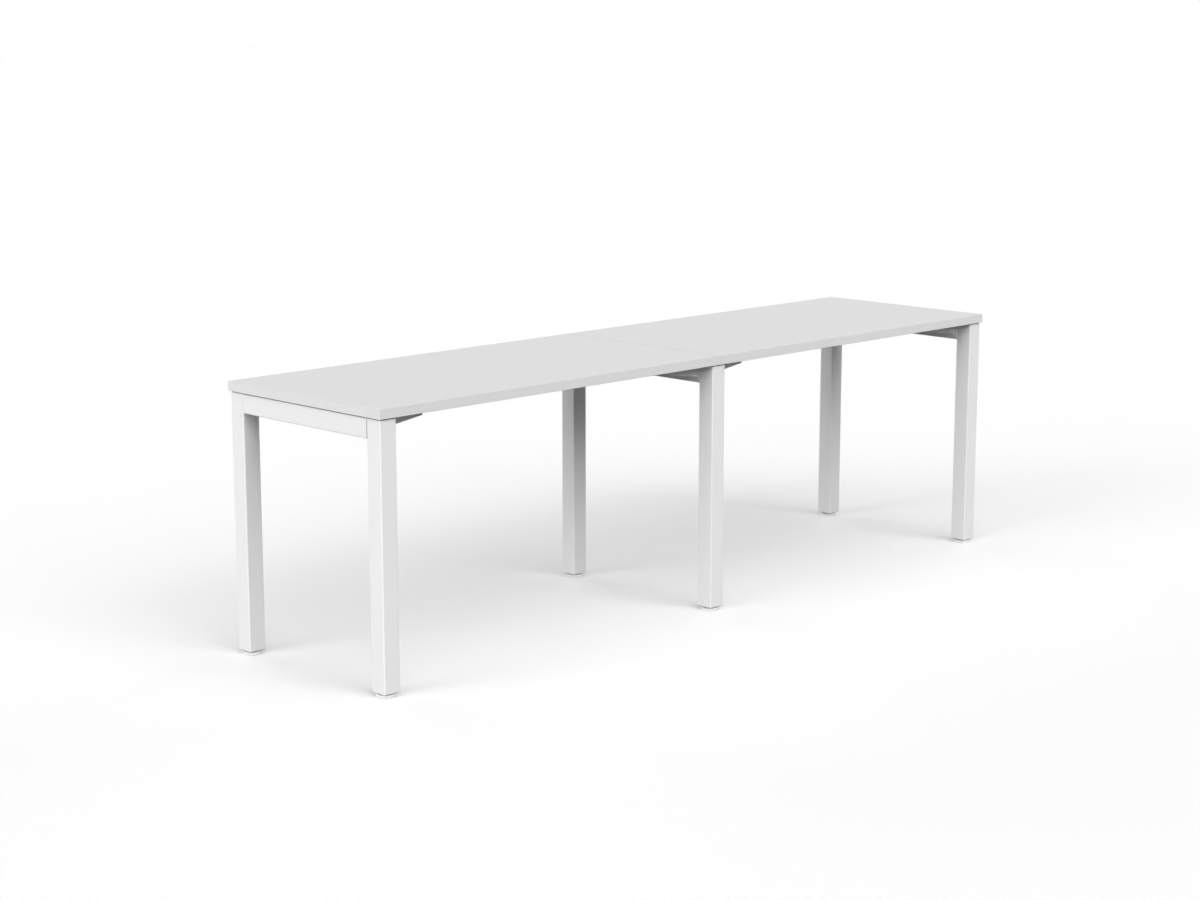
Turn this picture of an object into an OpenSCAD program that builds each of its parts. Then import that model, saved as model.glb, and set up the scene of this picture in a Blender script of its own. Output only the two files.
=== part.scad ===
// Two-person desk: two worktops in a row on three square-tube leg frames.
// Millimetres, +Z up. The front is -Y and the length runs along X.
// The origin is on the floor, under the centre of the worktops.

/* [Worktops] */
// Length of the desk, both worktops together
desk_len = 2400; // [2000:10:3200]
// Depth of the desk, front to rear
desk_depth = 600; // [560:10:900]
// Height of the upper face above the floor, with the feet wound in
desk_h = 716; // [640:1:780]
// Thickness of the worktop boards
top_t = 25; // [22:1:32]
// Thickness of the edge bands
band_t = 2; // [1:0.1:3]
// Radius on the outer arrises of the edge bands
band_r = 0.8; // [0.3:0.1:0.9]
// Gap between the two worktops at the seam
seam_gap = 0.8; // [0.2:0.1:3]

/* [Leg frames] */
// Distance from the worktop's edges in to the frames
frame_inset = 5; // [0:1:30]
// Width of the square legs
leg_w = 50; // [44:1:60]
// Wall thickness of the legs and rails
leg_wall = 2; // [1.5:0.1:3]
// Outer corner radius of the legs and rails
leg_r = 3; // [2:0.5:5]
// Height of the transverse rails
rail_h = 50; // [46:1:60]
// Shadow gap between the frames and the worktops
shadow_gap = 3; // [1.5:0.5:5]
// How far the caps stand in from the leg's faces
cap_inset = 1.5; // [0.5:0.5:3]
// How far the rubber strips stand in from the rail's faces
strip_inset = 1.5; // [0.5:0.5:4]
// Depth of the caps inside the legs
cap_depth = 14; // [8:1:25]
// Wall thickness of the plastic caps and inserts
plug_wall = 2; // [1.5:0.5:3]
// Clearance between a plug and the tube around it
plug_gap = 0.1; // [0.05:0.05:0.3]

/* [Support arms] */
// Reach of an arm from the rail's face
arm_len = 130; // [90:5:180]
// Width of an arm
arm_w = 40; // [30:1:60]
// Depth of an arm at the rail
arm_root_h = 36; // [28:1:44]
// Depth of an arm at its tip
arm_tip_h = 18; // [12:1:26]
// Sheet thickness of the arms
arm_t = 2.5; // [2:0.5:4]
// Outer bend radius of the arms
arm_bend_r = 4; // [4:0.5:6]
// Space between a leg and the arm behind it
arm_clear = 5; // [2:1:40]
// Distance of the screws from the arm's root and from its tip
arm_screw_edge = 25; // [15:1:35]

/* [Long beams] */
// Distance between the two beams of a bay
beam_pitch = 130; // [110:2:200]
// Width of a beam
beam_w = 30; // [20:1:34]
// Height of a beam
beam_h = 40; // [30:1:42]
// Wall thickness of the beams
beam_wall = 2; // [1.5:0.5:3]
// Outer corner radius of the beams
beam_r = 2.5; // [2:0.5:4]
// Thickness of the end plates
plate_t = 5; // [4:0.5:8]
// Width of the end plates
plate_w = 76; // [74:1:90]
// Height of the end plates
plate_h = 44; // [43:0.5:46]
// Corner radius of the end plates
plate_r = 4; // [2:1:8]
// Distance between the rubber buffers on a beam
buffer_pitch = 560; // [200:10:700]
// Diameter of the rubber buffers
buffer_d = 20; // [12:1:20]

/* [Fasteners] */
// Thread diameter of the beam bolts
bolt_d = 8; // [6:1:8]
// Length of the beam bolts under the head
bolt_len = 16; // [14:1:18]
// Distance between the two bolts of an end plate
bolt_pitch = 56; // [54:1:58]
// Width across the flats of the bolt heads
bolt_af = 13; // [10:1:13]
// Height of the bolt heads
bolt_head_h = 5.3; // [4:0.1:7]
// Diameter of the washer flange under the bolt heads
bolt_flange_d = 16; // [15:1:18]
// Wall thickness of the rivet nuts
nut_wall = 1.5; // [1:0.1:2]
// Length of the rivet nuts inside the rail
nut_len = 15; // [12:1:18]
// Diameter of the rivet nut flanges
nut_flange_d = 15; // [14:1:18]
// Thickness of the rivet nut flanges
nut_flange_t = 1; // [0.8:0.1:2]
// Diameter of the worktop screws
screw_d = 5; // [4:0.5:6]
// Length of the worktop screws under the head
screw_len = 20; // [14:1:21]
// Diameter of the worktop screw heads
screw_head_d = 9.5; // [8:0.5:12]
// Height of the worktop screw heads
screw_head_h = 3; // [2:0.5:4]

/* [Levelling feet] */
// Diameter of the foot pads
pad_d = 50; // [40:1:60]
// Height of the foot pads
pad_h = 8; // [7:0.5:12]
// Rounding of the foot pads' upper rim
pad_round = 3; // [1:0.5:4]
// Bevel of the foot pads' lower rim
pad_bevel = 0.6; // [0.3:0.1:1.5]
// Thickness of the pad under the stud
pad_floor = 2.5; // [2:0.5:3.5]
// Thread diameter of the foot studs
stud_d = 10; // [8:1:12]
// Length of thread above the stud's collar
stud_len = 35; // [32:1:50]
// Diameter of the stud's turning plate inside the pad
stud_plate_d = 18; // [16:1:24]
// Thickness of the stud's turning plate
stud_plate_t = 2.4; // [2:0.2:3]
// Width across the flats of the stud's collar
collar_af = 17; // [16:1:24]
// Height of the stud's collar
collar_h = 2.1; // [2:0.1:4]
// Flange thickness of the leg inserts
insert_flange_t = 1.5; // [1:0.5:3]
// Depth of the leg inserts inside the legs
insert_depth = 25; // [20:1:35]
// Wall thickness around the insert's thread
boss_wall = 4; // [3:0.5:6]
// Thickness of the insert's ribs
rib_t = 2; // [1.5:0.5:3]

/* [Running clearances] */
// Radial clearance of threads and turning parts
run_gap = 0.05; // [0.03:0.01:0.1]
// Gap between the collar and its stop on the insert
stop_gap = 0.3; // [0.2:0.05:0.5]
// Radial clearance of the fixed screws and bolts in their holes
hole_gap = 0.25; // [0.1:0.05:0.5]

/* [Hidden] */
$fn = 64;
SLOP = 1;
// heights
top_under = desk_h - top_t;
frame_top = top_under - shadow_gap;
rail_mid = frame_top - rail_h / 2;
stop_z = pad_h + run_gap + collar_h + stop_gap;
leg_bottom = stop_z + insert_flange_t;
leg_len = frame_top - leg_bottom;
buffer_h = top_under - (rail_mid + beam_h / 2);
// plan positions
end_x = desk_len / 2 - frame_inset - leg_w / 2;
leg_y = desk_depth / 2 - frame_inset - leg_w / 2;
rail_len = 2 * leg_y - leg_w;
arm_y = leg_y - leg_w / 2 - arm_clear - arm_w / 2;
arm_screw_s = [arm_screw_edge, arm_len - arm_screw_edge];
bay_mid = end_x / 2;
bay_clear = end_x - leg_w;
beam_len = bay_clear - 2 * (nut_flange_t + plate_t);
// worktops
board_len = (desk_len - seam_gap) / 2 - 2 * band_t;
board_depth = desk_depth - 2 * band_t;
board_mid = seam_gap / 2 + band_t + board_len / 2;
band_len = board_len + 2 * band_t;
// fasteners
nut_d = bolt_d + 2 * nut_wall;
screw_tip = screw_d * 0.8;
// plugs in the square tubes
tube_inner = leg_w - 2 * leg_wall;
plug_w = tube_inner - 2 * plug_gap;
plug_r = max(leg_r - leg_wall, 0.5);
cap_w = leg_w - 2 * cap_inset;
boss_d = stud_d + 2 * boss_wall;

// Side signs: sx is -1 at the left, 0 at the centre and 1 at the right; sy is -1 at the front.

// Flat outline of a rounded rectangle about the origin
module rounded_rect(w, d, r) {
    union() {
        square([w - 2 * r, d], center = true);
        square([w, d - 2 * r], center = true);
        for (x = [-1, 1], y = [-1, 1])
            translate([x * (w / 2 - r), y * (d / 2 - r)]) circle(r = r);
    }
}

// Hollow section with rounded corners, standing on the origin
module hollow_section(w, d, r, wall, len) {
    linear_extrude(len)
        difference() {
            rounded_rect(w, d, r);
            rounded_rect(w - 2 * wall, d - 2 * wall, max(r - wall, 0.5));
        }
}

// Puts a flat outline's normal along +X, with its own x along Y and its own y along Z
module facing_x() {
    rotate([90, 0, 90]) children();
}

// Children at the four pairs of arm screws in one bay, at the worktop's underside
module at_arm_screws(sx) {
    for (sy = [-1, 1], s = arm_screw_s) {
        translate([sx * (leg_w / 2 + s), sy * arm_y, top_under]) children();
        translate([sx * (end_x - leg_w / 2 - s), sy * arm_y, top_under]) children();
    }
}

// Children at the bolt axes of one rail face, pointing out along +X
module at_rail_bolts() {
    for (sy = [-1, 1], b = [-1, 1])
        translate([0, sy * beam_pitch / 2 + b * bolt_pitch / 2, 0]) facing_x() children();
}

// Children at every rail face that takes beams, with +X pointing into the bay
module at_rail_faces(sx_list) {
    for (sx = sx_list, dir = (sx == 0) ? [-1, 1] : [-sx])
        translate([sx * end_x, 0, rail_mid])
            rotate([0, 0, (dir < 0) ? 180 : 0])
                translate([leg_w / 2, 0, 0]) children();
}

// Melamine-faced board with pilot holes for the arm screws
module worktop_board(sx) {
    color([0.86, 0.86, 0.86])
        difference() {
            translate([sx * board_mid, 0, top_under + top_t / 2])
                cube([board_len, board_depth, top_t], center = true);
            at_arm_screws(sx)
                translate([0, 0, -SLOP])
                    cylinder(d = screw_d + 2 * run_gap, h = screw_len - arm_t + 2 * SLOP);
        }
}

// Edge band along +X, its outer face at +Y, its back face on the origin
module edge_band(len) {
    facing_x()
        linear_extrude(len, center = true)
            translate([band_t / 2, top_t / 2])
                union() {
                    translate([-band_r / 2, 0]) square([band_t - band_r, top_t], center = true);
                    square([band_t, top_t - 2 * band_r], center = true);
                    for (y = [-1, 1])
                        translate([band_t / 2 - band_r, y * (top_t / 2 - band_r)]) circle(r = band_r);
                }
}

// Band along the front (sy = -1) or the rear edge of one worktop
module long_band(sx, sy) {
    color([0.84, 0.84, 0.84])
        translate([sx * board_mid, sy * board_depth / 2, top_under])
            rotate([0, 0, (sy < 0) ? 180 : 0]) edge_band(band_len);
}

// Band across one end of a worktop; side is 1 at the desk's end and -1 at the seam
module cross_band(sx, side) {
    color([0.84, 0.84, 0.84])
        translate([sx * (board_mid + side * board_len / 2), 0, top_under])
            rotate([0, 0, (sx * side > 0) ? -90 : 90]) edge_band(board_depth);
}

// Square leg
module leg(sx, sy) {
    color("white")
        translate([sx * end_x, sy * leg_y, leg_bottom])
            hollow_section(leg_w, leg_w, leg_r, leg_wall, leg_len);
}

// Rail from the front leg to the rear leg, bored for the rivet nuts
module rail(sx) {
    color("white")
        difference() {
            translate([sx * end_x, rail_len / 2, rail_mid])
                rotate([90, 0, 0]) hollow_section(leg_w, rail_h, leg_r, leg_wall, rail_len);
            at_rail_faces([sx])
                at_rail_bolts()
                    translate([0, 0, -leg_wall - SLOP])
                        cylinder(d = nut_d + 2 * run_gap, h = leg_wall + 2 * SLOP);
        }
}

// Folded arm, open below, reaching from the origin along +X with its top at z = 0
module arm_shape() {
    difference() {
        intersection() {
            facing_x()
                linear_extrude(arm_len)
                    translate([0, -arm_root_h])
                        difference() {
                            rounded_rect(arm_w, 2 * arm_root_h, arm_bend_r);
                            rounded_rect(arm_w - 2 * arm_t, 2 * (arm_root_h - arm_t), arm_bend_r - arm_t);
                        }
            rotate([90, 0, 0])
                linear_extrude(arm_w + 2 * SLOP, center = true)
                    polygon([
                        [-SLOP, SLOP],
                        [arm_len + SLOP, SLOP],
                        [arm_len + SLOP, -arm_tip_h],
                        [arm_len, -arm_tip_h],
                        [0, -arm_root_h],
                        [-SLOP, -arm_root_h]
                    ]);
        }
        for (s = arm_screw_s)
            translate([s, 0, -arm_t - SLOP])
                cylinder(d = screw_d + 2 * hole_gap, h = arm_t + 2 * SLOP);
    }
}

// Support arm on the rail of frame sx, reaching to the left (dir = -1) or to the right
module arm(sx, sy, dir) {
    color("white")
        translate([sx * end_x + dir * leg_w / 2, sy * arm_y, top_under])
            rotate([0, 0, (dir < 0) ? 180 : 0]) arm_shape();
}

// Long beam of one bay
module beam(sx, sy) {
    color("white")
        translate([sx * bay_mid - beam_len / 2, sy * beam_pitch / 2, rail_mid])
            facing_x() hollow_section(beam_w, beam_h, beam_r, beam_wall, beam_len);
}

// The two end plates of one beam
module beam_plates(sx, sy) {
    color("white")
        for (e = [-1, 1])
            translate([sx * bay_mid + e * (beam_len + plate_t) / 2, sy * beam_pitch / 2, rail_mid])
                facing_x()
                    linear_extrude(plate_t, center = true)
                        difference() {
                            rounded_rect(plate_w, plate_h, plate_r);
                            for (b = [-1, 1])
                                translate([b * bolt_pitch / 2, 0]) circle(d = bolt_d + 2 * hole_gap);
                        }
}

// Flanged hexagon bolt, its head's seat at z = 0 and its shank along -Z
module bolt() {
    union() {
        translate([0, 0, -bolt_len]) cylinder(d = bolt_d, h = bolt_len);
        cylinder(d = bolt_flange_d, h = bolt_head_h / 4);
        cylinder(d = bolt_af / cos(30), h = bolt_head_h, $fn = 6);
    }
}

// All bolts that hold the end plates to the rails
module beam_bolts() {
    color("silver")
        at_rail_faces([-1, 0, 1])
            at_rail_bolts()
                translate([0, 0, nut_flange_t + plate_t]) bolt();
}

// Rivet nut, its flange on the rail's face and its barrel inside the rail
module rivet_nut() {
    difference() {
        union() {
            translate([0, 0, -nut_len]) cylinder(d = nut_d, h = nut_len + nut_flange_t);
            cylinder(d = nut_flange_d, h = nut_flange_t);
        }
        translate([0, 0, -nut_len - SLOP])
            cylinder(d = bolt_d + 2 * run_gap, h = nut_len + nut_flange_t + 2 * SLOP);
    }
}

// All rivet nuts in the rails
module rivet_nuts() {
    color("silver")
        at_rail_faces([-1, 0, 1]) at_rail_bolts() rivet_nut();
}

// Rubber buffers between the beams and the worktops
module beam_buffers() {
    color([0.15, 0.15, 0.15])
        for (sx = [-1, 1], sy = [-1, 1], e = [-1, 1])
            translate([sx * bay_mid + e * buffer_pitch / 2, sy * beam_pitch / 2, top_under - buffer_h])
                cylinder(d = buffer_d, h = buffer_h);
}

// Pan-head screw, its head's seat at z = 0 and its point along +Z
module worktop_screw() {
    union() {
        cylinder(d = screw_d, h = screw_len - screw_tip);
        translate([0, 0, screw_len - screw_tip]) cylinder(d1 = screw_d, d2 = 0.5, h = screw_tip);
        translate([0, 0, -screw_head_h])
            cylinder(d1 = screw_head_d - screw_head_h, d2 = screw_head_d, h = screw_head_h);
    }
}

// The screws that hold one worktop to its arms
module worktop_screws(sx) {
    color("silver")
        at_arm_screws(sx) translate([0, 0, -arm_t]) worktop_screw();
}

// Plastic cap in a leg's top, which also carries the worktop
module leg_cap() {
    union() {
        linear_extrude(shadow_gap) rounded_rect(cap_w, cap_w, leg_r);
        translate([0, 0, -cap_depth])
            hollow_section(plug_w, plug_w, plug_r, plug_wall, cap_depth + shadow_gap / 2);
    }
}

// The caps of all six legs
module leg_top_caps() {
    color([0.15, 0.15, 0.15])
        for (sx = [-1, 0, 1], sy = [-1, 1])
            translate([sx * end_x, sy * leg_y, frame_top]) leg_cap();
}

// Rubber strips on the three rails, which fill the shadow gap and carry the worktops
module rail_top_strips() {
    color([0.15, 0.15, 0.15])
        for (sx = [-1, 0, 1])
            translate([sx * end_x, 0, frame_top + shadow_gap / 2])
                cube([leg_w - 2 * strip_inset, rail_len, shadow_gap], center = true);
}

// Threaded insert in a leg's lower end: a flange, a square plug and a ribbed boss
module leg_insert(sx, sy) {
    color([0.75, 0.75, 0.75])
        translate([sx * end_x, sy * leg_y, leg_bottom])
            difference() {
                union() {
                    translate([0, 0, -insert_flange_t])
                        linear_extrude(insert_flange_t) rounded_rect(cap_w, cap_w, leg_r);
                    hollow_section(plug_w, plug_w, plug_r, plug_wall, insert_depth);
                    cylinder(d = boss_d, h = insert_depth);
                    linear_extrude(insert_depth)
                        for (a = [0, 90])
                            rotate(a) square([plug_w - plug_wall, rib_t], center = true);
                }
                translate([0, 0, -insert_flange_t - SLOP])
                    cylinder(d = stud_d + 2 * run_gap, h = insert_flange_t + insert_depth + 2 * SLOP);
            }
}

// Round foot pad with a stepped pocket for the stud's turning plate
module foot_pad(sx, sy) {
    color([0.92, 0.92, 0.92])
        translate([sx * end_x, sy * leg_y, 0])
            rotate_extrude()
                difference() {
                    union() {
                        square([pad_d / 2 - pad_round, pad_h]);
                        polygon([
                            [0, 0],
                            [pad_d / 2 - pad_bevel, 0],
                            [pad_d / 2, pad_bevel],
                            [pad_d / 2, pad_h - pad_round],
                            [0, pad_h - pad_round]
                        ]);
                        intersection() {
                            translate([pad_d / 2 - pad_round, pad_h - pad_round]) circle(r = pad_round);
                            square([pad_d / 2, pad_h]);
                        }
                    }
                    translate([-SLOP, pad_floor])
                        square([stud_plate_d / 2 + run_gap + SLOP, stud_plate_t + 2 * run_gap]);
                    translate([-SLOP, pad_floor])
                        square([stud_d / 2 + run_gap + SLOP, pad_h]);
                }
}

// Foot stud: turning plate, neck, hexagonal collar and thread
module foot_stud(sx, sy) {
    color("silver")
        translate([sx * end_x, sy * leg_y, pad_floor + run_gap])
            union() {
                cylinder(d = stud_plate_d, h = stud_plate_t);
                cylinder(d = stud_d, h = stop_z - stop_gap - pad_floor - run_gap + stud_len);
                translate([0, 0, pad_h - pad_floor])
                    cylinder(d = collar_af / cos(30), h = collar_h, $fn = 6);
            }
}

worktop_board(-1);  // left_worktop
worktop_board(1);  // right_worktop
long_band(-1, -1);  // left_front_edge_band
long_band(-1, 1);  // left_rear_edge_band
cross_band(-1, 1);  // left_end_edge_band
cross_band(-1, -1);  // left_inner_edge_band
long_band(1, -1);  // right_front_edge_band
long_band(1, 1);  // right_rear_edge_band
cross_band(1, 1);  // right_end_edge_band
cross_band(1, -1);  // right_inner_edge_band
leg(-1, -1);  // front_left_leg
leg(-1, 1);  // rear_left_leg
leg(0, -1);  // front_centre_leg
leg(0, 1);  // rear_centre_leg
leg(1, -1);  // front_right_leg
leg(1, 1);  // rear_right_leg
rail(-1);  // left_rail
rail(0);  // centre_rail
rail(1);  // right_rail
arm(-1, -1, 1);  // left_front_arm
arm(-1, 1, 1);  // left_rear_arm
arm(1, -1, -1);  // right_front_arm
arm(1, 1, -1);  // right_rear_arm
arm(0, -1, -1);  // centre_front_left_arm
arm(0, 1, -1);  // centre_rear_left_arm
arm(0, -1, 1);  // centre_front_right_arm
arm(0, 1, 1);  // centre_rear_right_arm
beam(-1, -1);  // left_front_beam
beam(-1, 1);  // left_rear_beam
beam(1, -1);  // right_front_beam
beam(1, 1);  // right_rear_beam
beam_plates(-1, -1);  // left_front_beam_plates
beam_plates(-1, 1);  // left_rear_beam_plates
beam_plates(1, -1);  // right_front_beam_plates
beam_plates(1, 1);  // right_rear_beam_plates
beam_bolts();
rivet_nuts();
beam_buffers();
worktop_screws(-1);  // left_worktop_screws
worktop_screws(1);  // right_worktop_screws
leg_top_caps();
rail_top_strips();
leg_insert(-1, -1);  // front_left_insert
leg_insert(-1, 1);  // rear_left_insert
leg_insert(0, -1);  // front_centre_insert
leg_insert(0, 1);  // rear_centre_insert
leg_insert(1, -1);  // front_right_insert
leg_insert(1, 1);  // rear_right_insert
foot_pad(-1, -1);  // front_left_foot_pad
foot_pad(-1, 1);  // rear_left_foot_pad
foot_pad(0, -1);  // front_centre_foot_pad
foot_pad(0, 1);  // rear_centre_foot_pad
foot_pad(1, -1);  // front_right_foot_pad
foot_pad(1, 1);  // rear_right_foot_pad
foot_stud(-1, -1);  // front_left_foot_stud
foot_stud(-1, 1);  // rear_left_foot_stud
foot_stud(0, -1);  // front_centre_foot_stud
foot_stud(0, 1);  // rear_centre_foot_stud
foot_stud(1, -1);  // front_right_foot_stud
foot_stud(1, 1);  // rear_right_foot_stud
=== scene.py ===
"""White two-person desk: moulded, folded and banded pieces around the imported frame.

Metres, +Z up, the front is -Y and the desk's length runs along X.
"""

import math

import bmesh
import bpy
from mathutils import Matrix, Vector


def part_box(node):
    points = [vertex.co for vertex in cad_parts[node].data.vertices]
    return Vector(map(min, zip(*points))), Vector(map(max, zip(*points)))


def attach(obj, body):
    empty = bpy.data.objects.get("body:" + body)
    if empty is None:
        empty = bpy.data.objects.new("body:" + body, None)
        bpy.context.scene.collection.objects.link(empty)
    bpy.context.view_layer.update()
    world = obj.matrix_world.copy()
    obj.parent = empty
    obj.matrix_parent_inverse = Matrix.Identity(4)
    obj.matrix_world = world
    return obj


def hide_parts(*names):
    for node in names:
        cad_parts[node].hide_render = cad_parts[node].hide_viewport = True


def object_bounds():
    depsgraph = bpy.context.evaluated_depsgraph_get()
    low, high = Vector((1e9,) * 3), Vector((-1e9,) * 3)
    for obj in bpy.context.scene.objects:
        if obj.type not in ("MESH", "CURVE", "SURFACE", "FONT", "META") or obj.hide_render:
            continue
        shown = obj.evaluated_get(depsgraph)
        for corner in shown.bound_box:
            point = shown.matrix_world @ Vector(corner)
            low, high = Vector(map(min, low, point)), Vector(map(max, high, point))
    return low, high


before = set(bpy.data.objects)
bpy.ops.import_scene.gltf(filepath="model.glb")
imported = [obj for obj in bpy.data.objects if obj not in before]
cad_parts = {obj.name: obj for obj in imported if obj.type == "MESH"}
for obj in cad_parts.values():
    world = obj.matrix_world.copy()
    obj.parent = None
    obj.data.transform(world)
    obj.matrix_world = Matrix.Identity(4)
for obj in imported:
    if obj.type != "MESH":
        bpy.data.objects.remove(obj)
cad_low, cad_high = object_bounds()

SIDES = ("left", "centre", "right")
BAYS = ("left", "right")
ENDS = ("front", "rear")
AXES = {"X": Vector((1, 0, 0)), "Y": Vector((0, 1, 0)), "Z": Vector((0, 0, 1))}
UP = AXES["Z"]
FULL_TURN = 2 * math.pi
STRAIGHT = 0.999
TOUCH = 1e-6
NEAR = 1e-5
CUT_PAST = 0.001
DRILL_PAST = 0.002
SHARP_EDGE = math.radians(50)
SHADED_EDGE = math.radians(32)

# Camera of the photograph; lens and sensor are in millimetres
CAMERA_PLACE = (-4.684, -4.521, 1.674)
CAMERA_TURN = math.radians(45.0)
CAMERA_TILT = math.radians(10.955)
LENS = 70.25
SENSOR = 36.0

# Studio light: name, bearing, height, strength and width of each lamp, angles in degrees.
# The bearing runs from the left end (0) to the front (90) and on round the desk.
LAMPS = (
    ("left", 0, 14, 1.46, 40),
    ("left_high", 0, 34, 0.52, 40),
    ("front_left", 45, 34, 1.10, 40),
    ("front", 90, 34, 1.34, 40),
    ("front_high", 90, 60, 0.48, 50),
    ("overhead", 90, 85, 0.45, 60),
    ("right", 180, 10, 1.10, 40),
    ("rear", 270, 10, 1.60, 40),
)

# Studio floor
FLOOR_REACH = 60.0
FLOOR_COLOUR = 0.76
FLOOR_LIFT = 0.18
FLOOR_BOUNCE = 0.08

# Worktops
BOARD_ARRIS = 0.00015
BAND_ARRIS = 0.0008
SEAM_ARRIS = 0.0004
BAND_STEPS = 4
# Painted shade: the seam bands grey towards the butt joint between the worktops
SEAM_SHADE_REACH = 0.0012
# Painted shade: the edge band's top millimetre is darkened to the board's white
BAND_TOP_SHADE_DEPTH = 0.0010
BOARD_WHITE = (0.648, 0.662)
BAND_WHITE = (0.824, 0.836)
# Painted shade: the darker white of the band's top millimetre
BAND_TOP_SHADE_WHITE = (0.620, 0.634)
# Painted shade: the seam bands' grey at the joint and their white beyond it
SEAM_SHADE_WHITE = (0.36, 0.655)
PILOT_HOLE = 0.0051
PILOT_DEPTH = 0.0185

# Leg frames
TUBE_WALL = 0.002
TUBE_CORNER = 0.003
BEAM_CORNER = 0.0025
CORNER_STEPS = 6
TUBE_RIM = 0.0002
REVEAL = 0.0008
# Grey pieces in the rail-to-leg joints that paint the joint's shade as a fine line
SHADE_LINE_INSET = 0.0003
SHADE_LINE_THICK = 0.0012

# Support arms
ARM_SHEET = 0.0025
ARM_BEND = 0.004
ARM_TIP_DEPTH = 0.018
ARM_TIP_CORNER = 0.0012
ARM_SCREW_EDGE = 0.025
SHEET_ARRIS = 0.0003
HOLE_GAP = 0.00025

# Beams and their plates
PLATE_THICK = 0.005
PLATE_CORNER = 0.004
PLATE_ARRIS = 0.0004
BOLT_PITCH = 0.056
BUFFER = 0.020
BUFFER_ROUND = 0.001
BUFFER_PITCH = 0.560

# Welds
BEAD_SIZE = 0.003
BEAD_SINK = BEAD_SIZE * 0.2
BEAD_RIPPLE = 0.0024
BEAD_END = 0.55
BEAD_WAIST = 0.86
STITCH = 0.022
STITCH_START = 0.004

# Fasteners
THREAD_DEPTH = 0.61
THREAD_POINT = 0.0010
BOLT_THREAD = 0.008
BOLT_THREAD_PITCH = 0.00125
BOLT_SHANK = 0.016
BOLT_ACROSS_FLATS = 0.013
BOLT_HEAD = 0.0053
BOLT_FLANGE = 0.016
NUT_BARREL = 0.011
NUT_LENGTH = 0.015
NUT_FLANGE = 0.015
NUT_FLANGE_THICK = 0.001
SCREW_THREAD = 0.005
SCREW_THREAD_PITCH = 0.0022
SCREW_LENGTH = 0.020
SCREW_HEAD = 0.0095
SCREW_HEAD_RISE = 0.003
SCREW_CORE = SCREW_THREAD * 0.32
RECESS_REACH = 0.0026
RECESS_WIDTH = 0.001
RECESS_FLOOR = -0.0012

# Levelling feet
STUD_THREAD = 0.010
STUD_THREAD_PITCH = 0.0015
STUD_PLATE = 0.018
STUD_PLATE_THICK = 0.0024
STUD_PLATE_CHAMFER = 0.0003
COLLAR_ACROSS_FLATS = 0.017
COLLAR_HEIGHT = 0.0021
PAD_FLOOR = 0.0025
PAD_ROUND = 0.003
PAD_BEVEL = 0.0006
PAD_RIM = 0.0042
PAD_HOLLOW = 0.0008
PAD_DISH = 0.0004
PAD_HUB = 0.0117
CAP_INSET = 0.0015
STRIP_INSET = 0.0015
STRIP_ARRIS = 0.0004
PLUG_WALL = 0.002
PLUG_GAP = 0.0001
PLUG_CORNER = 0.001
MOULDED_ARRIS = 0.0003
BOSS = 0.018
RIB = 0.002
RUN_GAP = 0.00005


# Shapes

def block(low, high):
    """Box between two corners."""
    shape = bmesh.new()
    size = Matrix.Diagonal((*(high - low), 1.0))
    bmesh.ops.create_cube(shape, size=1.0, matrix=Matrix.Translation((low + high) / 2) @ size)
    return shape


def edges_along(shape, axis):
    """The straight edges that run along X, Y or Z."""
    way = AXES[axis]
    return [e for e in shape.edges if abs((e.verts[1].co - e.verts[0].co).normalized().dot(way)) > STRAIGHT]


def faces_across(shape, axis):
    """The flat faces that look along X, Y or Z, either way."""
    return [f for f in shape.faces if abs(f.normal.dot(AXES[axis])) > STRAIGHT]


def round_edges(shape, edges, radius, steps):
    """Rounds edges to a radius."""
    bmesh.ops.bevel(shape, geom=edges, offset=radius, offset_type="OFFSET", affect="EDGES",
                    segments=steps, profile=0.5, material=-1, clamp_overlap=True)


def soften(shape, size, angle=SHARP_EDGE):
    """Takes a small bevel off every edge that is sharper than the angle."""
    sharp = [e for e in shape.edges if len(e.link_faces) == 2 and e.calc_face_angle(0.0) > angle]
    round_edges(shape, sharp, size, 2)


def turned(outline, steps=48):
    """Solid of revolution round Z; the outline is a list of (radius, height), axis to axis or closed."""
    shape = bmesh.new()
    verts = [shape.verts.new((r, 0.0, z)) for r, z in outline]
    pairs = list(zip(verts, verts[1:]))
    if outline[0][0] > 0 and outline[-1][0] > 0:
        pairs.append((verts[-1], verts[0]))
    edges = [shape.edges.new(pair) for pair in pairs]
    bmesh.ops.spin(shape, geom=verts + edges, axis=(0, 0, 1), cent=(0, 0, 0), angle=FULL_TURN,
                   steps=steps, use_merge=True, use_duplicate=False)
    bmesh.ops.remove_doubles(shape, verts=shape.verts[:], dist=TOUCH)
    bmesh.ops.recalc_face_normals(shape, faces=shape.faces[:])
    return shape


def arc(centre, radius, start, end, steps):
    """Points of (radius, height) on an arc, angles in degrees."""
    angles = [math.radians(start + (end - start) * i / steps) for i in range(steps + 1)]
    return [(centre[0] + radius * math.cos(a), centre[1] + radius * math.sin(a)) for a in angles]


def hexagon(across_flats, height, chamfer):
    """Hexagonal prism standing on the origin, its upper edges chamfered."""
    shape = bmesh.new()
    radius = across_flats / 2 / math.cos(math.radians(30))
    bmesh.ops.create_cone(shape, cap_ends=True, segments=6, radius1=radius, radius2=radius, depth=height,
                          matrix=Matrix.Translation((0, 0, height / 2)))
    top = [e for e in shape.edges if all(v.co.z > height - TOUCH for v in e.verts)]
    round_edges(shape, top, chamfer, 2)
    return shape


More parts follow.
